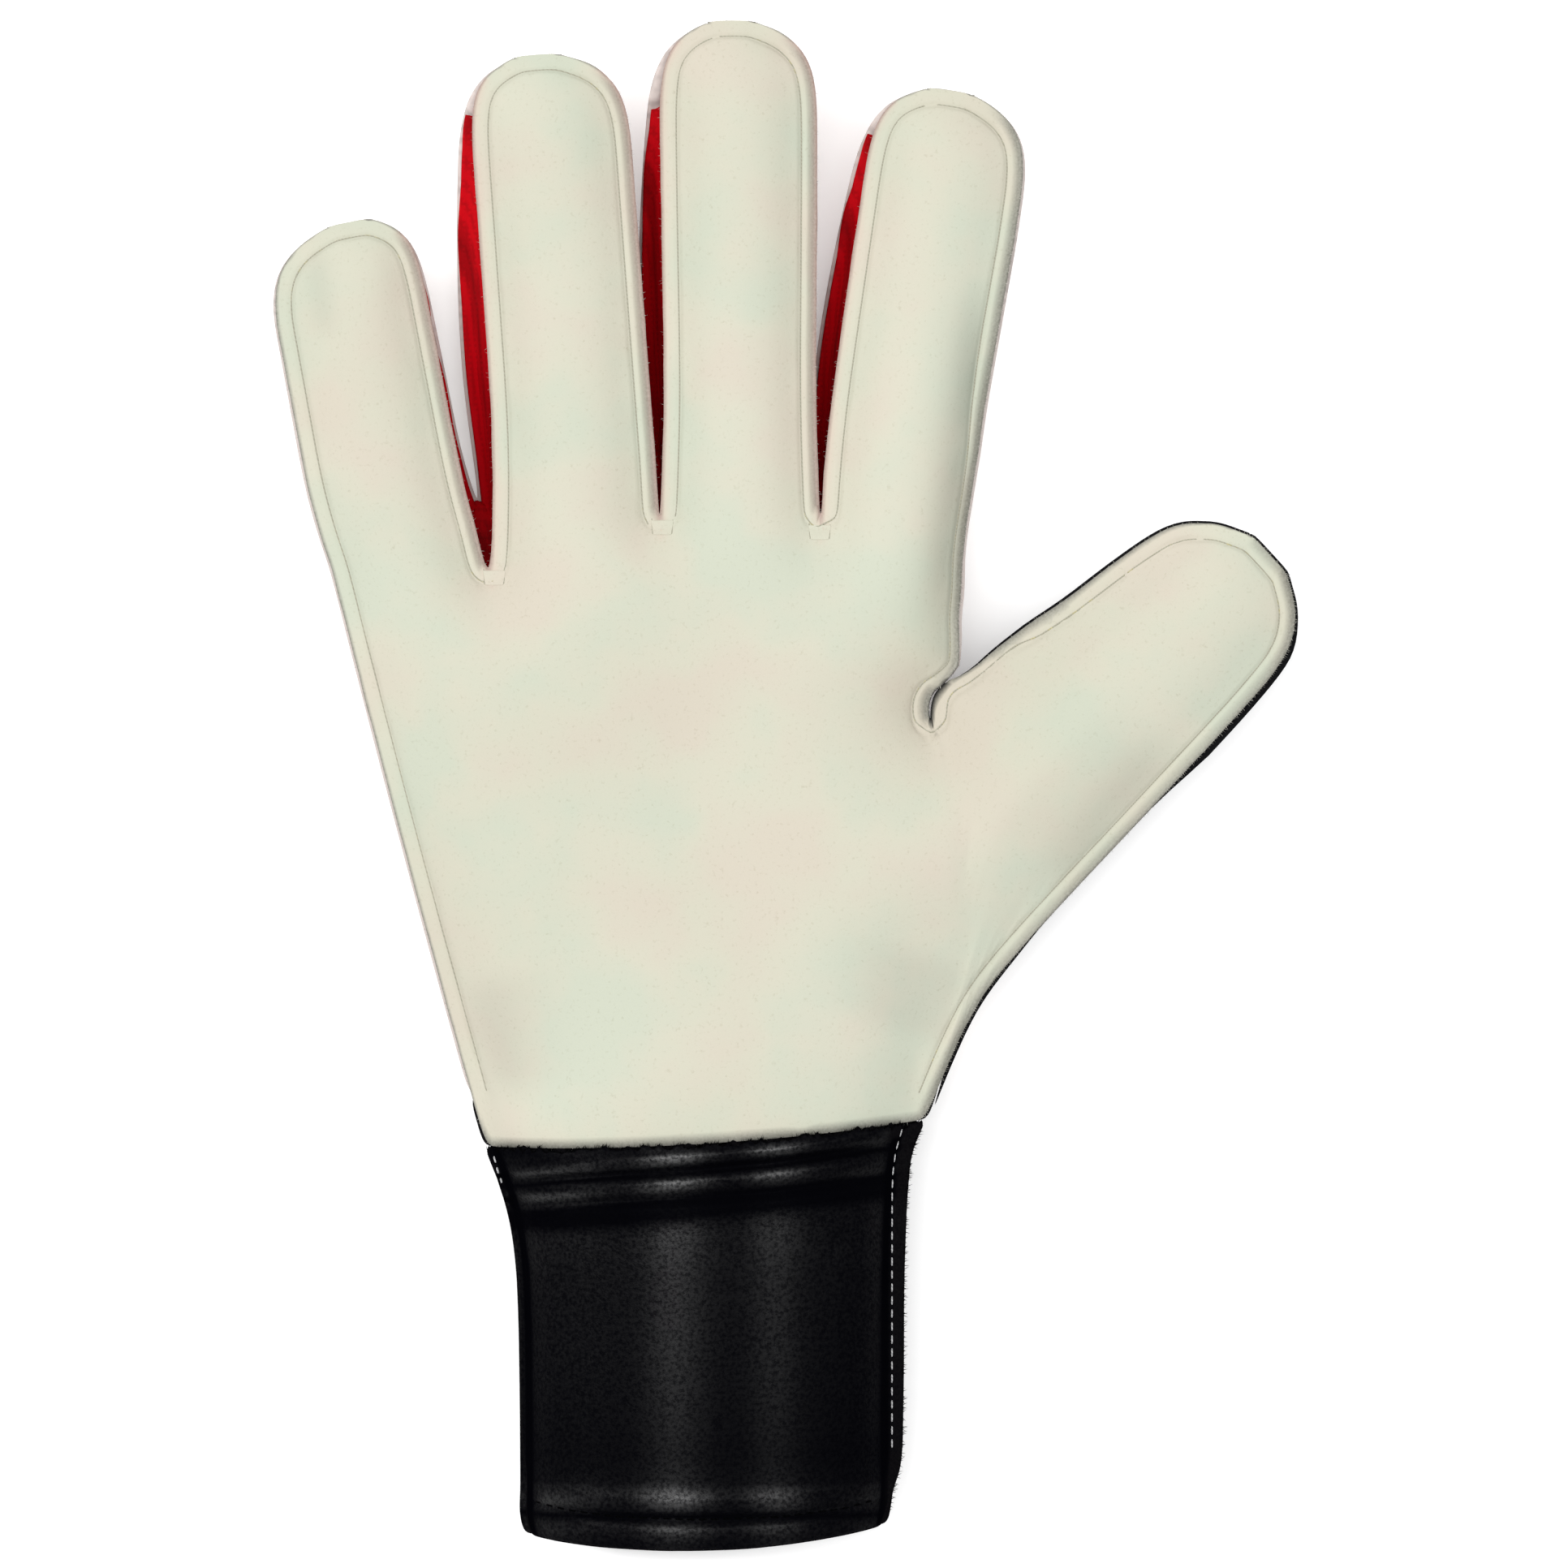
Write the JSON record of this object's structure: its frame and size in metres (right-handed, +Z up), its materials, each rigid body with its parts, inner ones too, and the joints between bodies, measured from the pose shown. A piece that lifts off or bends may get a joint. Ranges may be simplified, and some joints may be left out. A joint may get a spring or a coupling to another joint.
{
  "type": "goalkeeper glove",
  "caption": "Right-hand goalkeeper glove of the flat cut, palm up: cream latex palm, red finger walls, pale and black backhand, black wrist cuff.",
  "frame": {"origin": "under the middle of the glove's box, on the surface that the glove lies on", "axes": "+X to the thumb side, +Y to the fingertips, +Z up, out of the palm"},
  "size_m": [0.183, 0.27, 0.0329],
  "materials": {
    "cream_latex": "matte, finely pored",
    "pale_back": "matte",
    "black_back": "matte",
    "red_stretch": "satin",
    "black_synthetic": "satin, finely grained"
  },
  "bodies": {
    "root": {"palm_latex": "cream_latex", "back_hand": "pale_back", "back_wrist": "black_back", "back_thumb": "black_back", "gusset_little_ring": "red_stretch", "gusset_ring_middle": "red_stretch", "gusset_middle_index": "red_stretch", "cuff_front": "black_synthetic", "cuff_back": "black_synthetic"}
  },
  "joints": []
}
